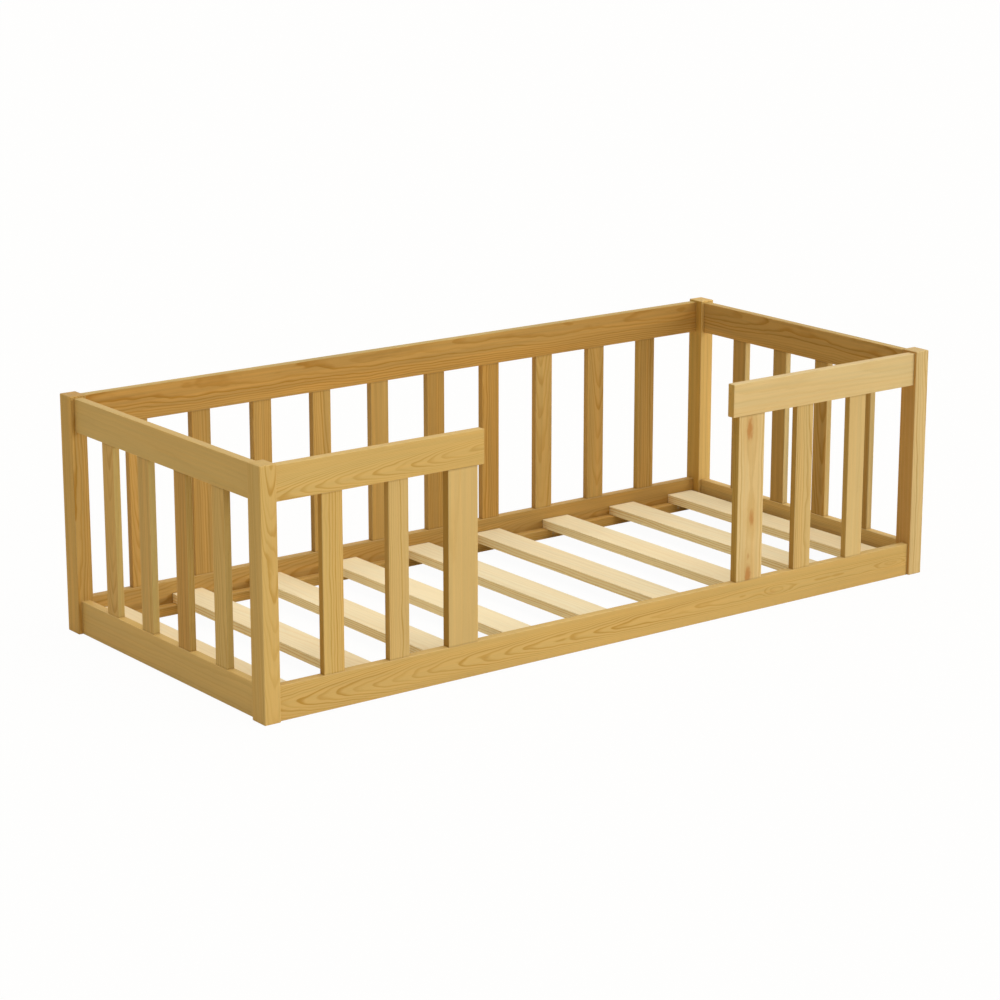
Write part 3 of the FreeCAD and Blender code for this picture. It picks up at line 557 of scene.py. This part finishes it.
def pine_group():
    """Pine sawn from a log: rings, fibres, resin canals, uneven stain with painted shade and sheen on some
    boards, worn edges with a painted highlight, painted light and shade on the narrow faces, and dark ends
    from end grain and from pooled stain with painted contact shade.
    """
    inputs = {
        "Vector": ("Place", "Half Size", "Pith", "Run"),
        "Float": ("Wander", "Ring Width", "Figure", "Side Figure", "Fade", "Seed", "Bend", "Core", "Halo",
                  "Tone", "Red", "Streaks", "Low Joint", "High Joint", "Satin"),
        "Color": ("Early Wood", "Late Wood", "Worn Edge And Highlight", "Knot", "Side", "End", "Joint Stain And Shade"),
    }
    bench, given = new_group("Sawn Pine", inputs, {"Color": ("Colour",), "Float": ("Roughness", "Height")})
    shift = bench.join(*(bench.math("MULTIPLY", given["Seed"], step) for step in SEED_SHIFT))
    grain = bench.vector("ADD", given["Place"], shift)
    fibre, streak, blotch, flush, canal = (
        pattern(bench, name, grain) for name in ("fibre", "streak", "blotch", "flush", "canal"))
    canal = bench.rise(canal, *CANAL_SHOWS)
    edge, side, end, joint = board_faces(bench, given, streak)
    clear = bench.weigh(given["Figure"], (side, given["Side Figure"]))
    late = bench.math("MINIMUM", bench.math("MULTIPLY", late_wood(bench, given, grain), clear), 1.0)

    colour = bench.blend(late, given["Early Wood"], given["Late Wood"])
    colour = bench.blend(bench.math("MULTIPLY", given["Halo"], HALO_SHARE), colour, given["Late Wood"])
    colour = bench.blend(bench.math("MULTIPLY", given["Core"], CORE_SHARE), colour, given["Knot"])
    redness = bench.weigh(given["Red"], (flush, FLUSH_RED), (streak, STREAK_RED))
    tint = bench.join(1.0, *(bench.weigh(1.0, (redness, share)) for share in RED_ON_GREEN_AND_BLUE))
    colour = bench.vector("MULTIPLY", colour, tint)
    # The narrow faces get painted light and shade; the ends get the darker colour of end grain.
    for face, its_tint in ((side, given["Side"]), (end, given["End"])):
        colour = bench.vector("MULTIPLY", colour, bench.blend(face, WHITE, its_tint))
    # Worn edges go towards bare wood, and this also paints a highlight along the edges.
    colour = bench.blend(bench.math("MULTIPLY", edge, WORN_AND_HIGHLIGHT_SHARE), colour, given["Worn Edge And Highlight"])
    # Butted ends take pooled stain and a painted contact shade.
    colour = bench.blend(bench.math("MULTIPLY", joint, JOINT_SHARE), colour, given["Joint Stain And Shade"])
    # The tone also carries the painted shade of the boards inside the bed.
    light = bench.weigh(given["Tone"], (fibre, FIBRE_LIGHT), (streak, given["Streaks"]),
                        (blotch, BLOTCH_LIGHT), (canal, CANAL_LIGHT))
    roughness = bench.weigh(given["Satin"], (late, LATE_WOOD_ROUGH), (fibre, FIBRE_ROUGH),
                            (edge, EDGE_ROUGH))
    height = bench.weigh(fibre, (late, LATE_WOOD_HEIGHT), (canal, CANAL_HEIGHT))
    return close_group(bench, Colour=bench.brighten(colour, light), Roughness=roughness, Height=height)


def board_place(bench, node_name):
    """Coordinates in a board: along it, across its face and through it, from its middle."""
    low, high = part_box(node_name)
    middle, half = (low + high) / 2, (high - low) / 2
    # The face of a post is the one to the front; that of another board is its widest one.
    order = (2, 0, 1) if node_name in POSTS else sorted(range(3), key=lambda axis: -half[axis])
    axes = bench.split(bench.vector("SUBTRACT", bench.place(), tuple(middle)))
    place = bench.join(*(axes[axis] for axis in order))
    return place, tuple(half[axis] for axis in order)


def stain_and_painted_light_of(node_name):
    """How a board took the stain, and the light and shade painted on it."""
    stain = {}
    for start, changes in STAIN_AND_PAINTED_LIGHT.items():
        if node_name.startswith(start):
            stain.update(changes)
    return stain


def pine_board(node_name, number, cut, colours, satin, joints):
    """Pine for one board.  Its number picks where in the log it came from."""
    pine = bpy.context.scene.bed_pine
    early, late = colours
    stain = stain_and_painted_light_of(node_name)
    material, bench, shader = new_material(f"Pine {node_name}")
    place, half = board_place(bench, node_name)
    bend, core, halo = board_knots(bench, place, BOARD_KNOTS.get(node_name, ()))
    # Every second board is sawn from the other side of the pith.
    flip = -1 if number % 2 else 1
    pith_across, pith_through = cut["pith"]
    drift, climb, bow = cut["run"]
    inputs = {
        "Place": place,
        "Half Size": half,
        "Pith": (0.0, pith_across * flip, pith_through),
        "Run": (drift * flip, climb, bow),
        "Wander": cut["wander"],
        "Ring Width": cut["rings"] * pine.ring_width,
        "Figure": cut["figure"],
        "Side Figure": stain["lines"],
        "Fade": cut["fade"],
        "Seed": SEED_START + number * SEED_STEP,
        "Bend": bend,
        "Core": core,
        "Halo": halo,
        # On the boards at the right, pale paints the sheen of light there.
        "Early Wood": mixed(stain["pale"], early, pine.bare_early_wood),
        "Late Wood": mixed(LATE_WOOD_PALES * stain["pale"], late, pine.bare_late_wood),
        # Worn edges, which also carry a painted highlight.
        "Worn Edge And Highlight": mixed(WORN_AND_HIGHLIGHT_PALES, early, pine.bare_early_wood),
        "Knot": opaque(pine.knot),
        # Painted light and shade on the narrow faces.
        "Side": opaque(stain["side"]),
        "End": opaque(stain["end"]),
        # Pooled stain and painted contact shade at the butted ends.
        "Joint Stain And Shade": mixed(JOINT_DARKENS, late, (0.0, 0.0, 0.0)),
        # On the right end, the right top rail and the rear boards, dark and red paint the shade inside the
        # bed.
        "Tone": 1.0 + TONE_SWING * math.sin(number * TONE_STEP) - stain["dark"],
        "Red": stain["red"],
        "Streaks": stain["streaks"],
        "Low Joint": joints[0],
        "High Joint": joints[1],
        "Satin": satin,
    }
    timber = bench.add("ShaderNodeGroup", inputs, node_tree=kept_group("Sawn Pine", pine_group)).outputs
    surface(bench, shader, timber["Colour"], timber["Roughness"], timber["Height"], PINE_BUMP, PINE_DEPTH)
    shader.inputs["Specular IOR Level"].default_value = PINE_SHINE
    dress((node_name,), material)


def stained(names, usual_cut, first_number, joints=BOTH_BUTT):
    """Stained pine on each of these boards, numbered from the first."""
    pine = bpy.context.scene.bed_pine
    colours = (pine.early_wood, pine.late_wood)
    for number, name in enumerate(names, start=first_number):
        cut = CUTS[BOARD_CUTS.get(name, usual_cut)]
        pine_board(name, number, cut, colours, pine.satin, ONE_BUTTS.get(name, joints))


# ---------------------------------------------------------------- the operators for the timber

class BED_OT_posts(bpy.types.Operator):
    """Stained pine on the four corner posts"""

    bl_idname = "bed.posts"
    bl_label = "Posts"

    def execute(self, context):
        stained(POSTS, "rift", FIRST_POST, joints=BOTH_FREE)
        return {"FINISHED"}


class BED_OT_rails(bpy.types.Operator):
    """Stained pine on the bottom and top rails"""

    bl_idname = "bed.rails"
    bl_label = "Rails"

    def execute(self, context):
        stained(BOTTOM_RAILS + TOP_RAILS, "arched", FIRST_RAIL)
        return {"FINISHED"}


class BED_OT_guards(bpy.types.Operator):
    """Stained pine on the guard rails and the wide boards that close them"""

    bl_idname = "bed.guards"
    bl_label = "Guards"

    def execute(self, context):
        stained(GUARD_RAILS, "arched", FIRST_GUARD_RAIL)
        stained(GUARD_BOARDS, "plain", FIRST_GUARD_BOARD)
        return {"FINISHED"}


class BED_OT_bars(bpy.types.Operator):
    """Stained pine on the upright bars, some sawn through the rings and some across them"""

    bl_idname = "bed.bars"
    bl_label = "Bars"

    def execute(self, context):
        for index, name in enumerate(BARS):
            turn = index * BAR_CUT_STEP + index // len(BAR_CUTS)
            stained((name,), BAR_CUTS[turn % len(BAR_CUTS)], FIRST_BAR + index)
        return {"FINISHED"}


class BED_OT_ledgers(bpy.types.Operator):
    """Stained pine on the ledgers under the slats"""

    bl_idname = "bed.ledgers"
    bl_label = "Ledgers"

    def execute(self, context):
        stained(LEDGERS, "rift", FIRST_LEDGER)
        return {"FINISHED"}


class BED_OT_slats(bpy.types.Operator):
    """Bare pine on the slats"""

    bl_idname = "bed.slats"
    bl_label = "Slats"

    def execute(self, context):
        pine = context.scene.bed_pine
        colours = (pine.bare_early_wood, pine.bare_late_wood)
        for index, name in enumerate(SLATS):
            cut = CUTS[SLAT_CUTS[index % len(SLAT_CUTS)]]
            pine_board(name, FIRST_SLAT + index, cut, colours, pine.satin + BARE_WOOD_ROUGH, BOTH_FREE)
        return {"FINISHED"}


# ---------------------------------------------------------------- the operators for the fittings

# Beech: the waves to the metre of its flecks and clouds, where in their noise the flecks start to
# show and are full, and what flecks and clouds add to its light and roughness.
BEECH_FLECKS, BEECH_CLOUDS = (900, 900, 900), (30, 30, 30)
FLECK_SHOWS = (0.02, 0.16)
FLECK_LIGHT, BEECH_CLOUD_LIGHT = -0.22, 0.3
BEECH_ROUGH, FLECK_ROUGH = 0.62, 0.12
BEECH_BUMP, BEECH_DEPTH = 0.4, 0.0002

# The same for metal, with its clouds and fine pits.
METAL_CLOUDS, METAL_PITS = (120, 120, 120), (1500, 1500, 1500)
CLOUD_LIGHT, CLOUD_ROUGH = 0.24, 0.25
PLATED_ROUGH, CAST_ROUGH = 0.38, 0.46
METAL_BUMP, METAL_DEPTH = 0.3, 0.0001


class BED_OT_dowels(bpy.types.Operator):
    """Beech on the dowels and pegs, with fine flecks"""

    bl_idname = "bed.dowels"
    bl_label = "Dowels"

    def execute(self, context):
        material, bench, shader = new_material("Beech")
        place = bench.place()
        fleck = bench.rise(bench.noise(place, BEECH_FLECKS), *FLECK_SHOWS)
        cloud = bench.noise(place, BEECH_CLOUDS)
        light = bench.weigh(1.0, (cloud, BEECH_CLOUD_LIGHT), (fleck, FLECK_LIGHT))
        colour = bench.brighten((*context.scene.bed_fittings.beech,), light)
        roughness = bench.weigh(BEECH_ROUGH, (fleck, FLECK_ROUGH))
        surface(bench, shader, colour, roughness, fleck, BEECH_BUMP, BEECH_DEPTH)
        dress(DOWELS, material)
        return {"FINISHED"}


class BED_OT_fittings(bpy.types.Operator):
    """Zinc on the bolts, screws and cams"""

    bl_idname = "bed.fittings"
    bl_label = "Fittings"

    def execute(self, context):
        colours = context.scene.bed_fittings
        for label, names, colour, rough in (
            ("Yellow Zinc Plating", BOLTS_AND_SCREWS, colours.zinc, PLATED_ROUGH),
            ("Cast Zinc", CAMS, colours.cast_zinc, CAST_ROUGH),
        ):
            material, bench, shader = new_material(label)
            shader.inputs["Metallic"].default_value = 1.0
            place = bench.place()
            cloud = bench.noise(place, METAL_CLOUDS, detail=3.0)
            pits = bench.noise(place, METAL_PITS)
            tinted = bench.brighten((*colour,), bench.weigh(1.0, (cloud, CLOUD_LIGHT)))
            roughness = bench.weigh(rough, (cloud, CLOUD_ROUGH))
            surface(bench, shader, tinted, roughness, pits, METAL_BUMP, METAL_DEPTH)
            dress(names, material)
        return {"FINISHED"}


# ---------------------------------------------------------------- the studio

SENSOR_WIDTH = 36  # in millimetres
FLOOR_DROP = 0.0005  # how far the floor lies under the feet of the bed, in metres
FLOOR_ROUGH = 0.9
FLOOR_GLOW = 0.96  # how much of what the camera sees of the floor is plain white


class BED_OT_studio(bpy.types.Operator):
    """A white floor, soft light and the camera"""

    bl_idname = "bed.studio"
    bl_label = "Studio"

    def execute(self, context):
        studio = context.scene.bed_studio
        make_floor(studio.floor_width, studio.floor_colour)
        make_room(context.scene, studio.room_light, studio.room_colour)
        make_lamp("Key Light", studio.key_light, heading=40, height=8, softness=40)
        make_lamp("Top Light", studio.top_light, heading=0, height=86, softness=60)
        make_camera(context.scene, studio)
        context.scene.view_settings.view_transform = "Standard"
        return {"FINISHED"}


def looked_at(bench):
    """1 for what the camera sees straight, in a reflection or through glass, and 0 for lighting."""
    rays = bench.add("ShaderNodeLightPath", {}).outputs
    reflected = bench.math("MAXIMUM", rays["Is Glossy Ray"], rays["Is Transmission Ray"])
    return bench.math("MAXIMUM", rays["Is Camera Ray"], reflected)


def make_floor(width, colour):
    """A white floor.  Most of what the camera sees of it is plain white, the rest takes the shadow."""
    half = width / 2
    corners = [(-half, -half, 0), (half, -half, 0), (half, half, 0), (-half, half, 0)]
    mesh = bpy.data.meshes.new("Floor")
    mesh.from_pydata(corners, [], [(0, 1, 2, 3)])
    floor = bpy.data.objects.new("Floor", mesh)
    floor.location.z = -FLOOR_DROP
    bpy.context.scene.collection.objects.link(floor)
    material, bench, shader = new_material("White Floor")
    shader.inputs["Base Color"].default_value = opaque(colour)
    shader.inputs["Roughness"].default_value = FLOOR_ROUGH
    shader.inputs["Specular IOR Level"].default_value = 0.0
    white = bench.add("ShaderNodeEmission", {"Color": WHITE, "Strength": 1.0})
    share = bench.math("MULTIPLY", looked_at(bench), FLOOR_GLOW)
    both = bench.add("ShaderNodeMixShader", {0: share, 1: shader.outputs[0], 2: white.outputs[0]})
    bench.feed(bench.tree.nodes["Material Output"], Surface=both.outputs[0])
    mesh.materials.append(material)


def make_room(scene, strength, colour):
    """Even light from all round, and plain white where the camera or a reflection looks past the floor."""
    world = bpy.data.worlds.new("Room")
    world.use_nodes = True
    bench = NodeBench(world.node_tree)
    seen = looked_at(bench)
    bench.feed(bench.tree.nodes["Background"],
               Color=bench.blend(seen, opaque(colour), WHITE),
               Strength=bench.weigh(strength, (seen, 1.0 - strength)))
    scene.world = world


def make_lamp(name, strength, heading, height, softness):
    """A wide far lamp, so far to the right of the bed's front, so high and so soft, in degrees."""
    light = bpy.data.lights.new(name, "SUN")
    light.energy = strength
    light.angle = math.radians(softness)
    lamp = bpy.data.objects.new(name, light)
    lamp.rotation_euler = (math.radians(90 - height), 0, math.radians(heading))
    bpy.context.scene.collection.objects.link(lamp)


def make_camera(scene, studio):
    """The camera, level from side to side."""
    camera = bpy.data.cameras.new("Camera")
    camera.sensor_width = SENSOR_WIDTH
    camera.lens = studio.lens
    view = bpy.data.objects.new("Camera", camera)
    view.location = studio.camera_place
    view.rotation_euler = (math.pi / 2 - studio.camera_tilt, 0, -studio.camera_heading)
    scene.collection.objects.link(view)
    scene.camera = view


# ---------------------------------------------------------------- the panel

OPERATORS = (
    BED_OT_posts,
    BED_OT_rails,
    BED_OT_guards,
    BED_OT_bars,
    BED_OT_ledgers,
    BED_OT_slats,
    BED_OT_dowels,
    BED_OT_fittings,
    BED_OT_studio,
)


class BED_PT_panel(bpy.types.Panel):
    """Lists the bed's sizes, colours and steps"""

    bl_idname = "BED_PT_panel"
    bl_label = "Floor Bed"
    bl_space_type = "VIEW_3D"
    bl_region_type = "UI"
    bl_category = "Floor Bed"

    def draw(self, context):
        layout = self.layout
        for group in (context.scene.bed_pine, context.scene.bed_fittings, context.scene.bed_studio):
            box = layout.box()
            for name in group.bl_rna.properties.keys():
                if name not in ("rna_type", "name"):
                    box.prop(group, name)
        for operator in OPERATORS:
            layout.operator(operator.bl_idname)


CLASSES = (BED_PG_pine, BED_PG_fittings, BED_PG_studio, *OPERATORS, BED_PT_panel)


def register():
    for cls in CLASSES:
        bpy.utils.register_class(cls)
    bpy.types.Scene.bed_pine = PointerProperty(type=BED_PG_pine)
    bpy.types.Scene.bed_fittings = PointerProperty(type=BED_PG_fittings)
    bpy.types.Scene.bed_studio = PointerProperty(type=BED_PG_studio)


def unregister():
    del bpy.types.Scene.bed_studio
    del bpy.types.Scene.bed_fittings
    del bpy.types.Scene.bed_pine
    for cls in reversed(CLASSES):
        bpy.utils.unregister_class(cls)


def main():
    register()
    bpy.ops.bed.posts()
    bpy.ops.bed.rails()
    bpy.ops.bed.guards()
    bpy.ops.bed.bars()
    bpy.ops.bed.ledgers()
    bpy.ops.bed.slats()
    bpy.ops.bed.dowels()
    bpy.ops.bed.fittings()
    bpy.ops.bed.studio()


if __name__ == "__main__":
    main()
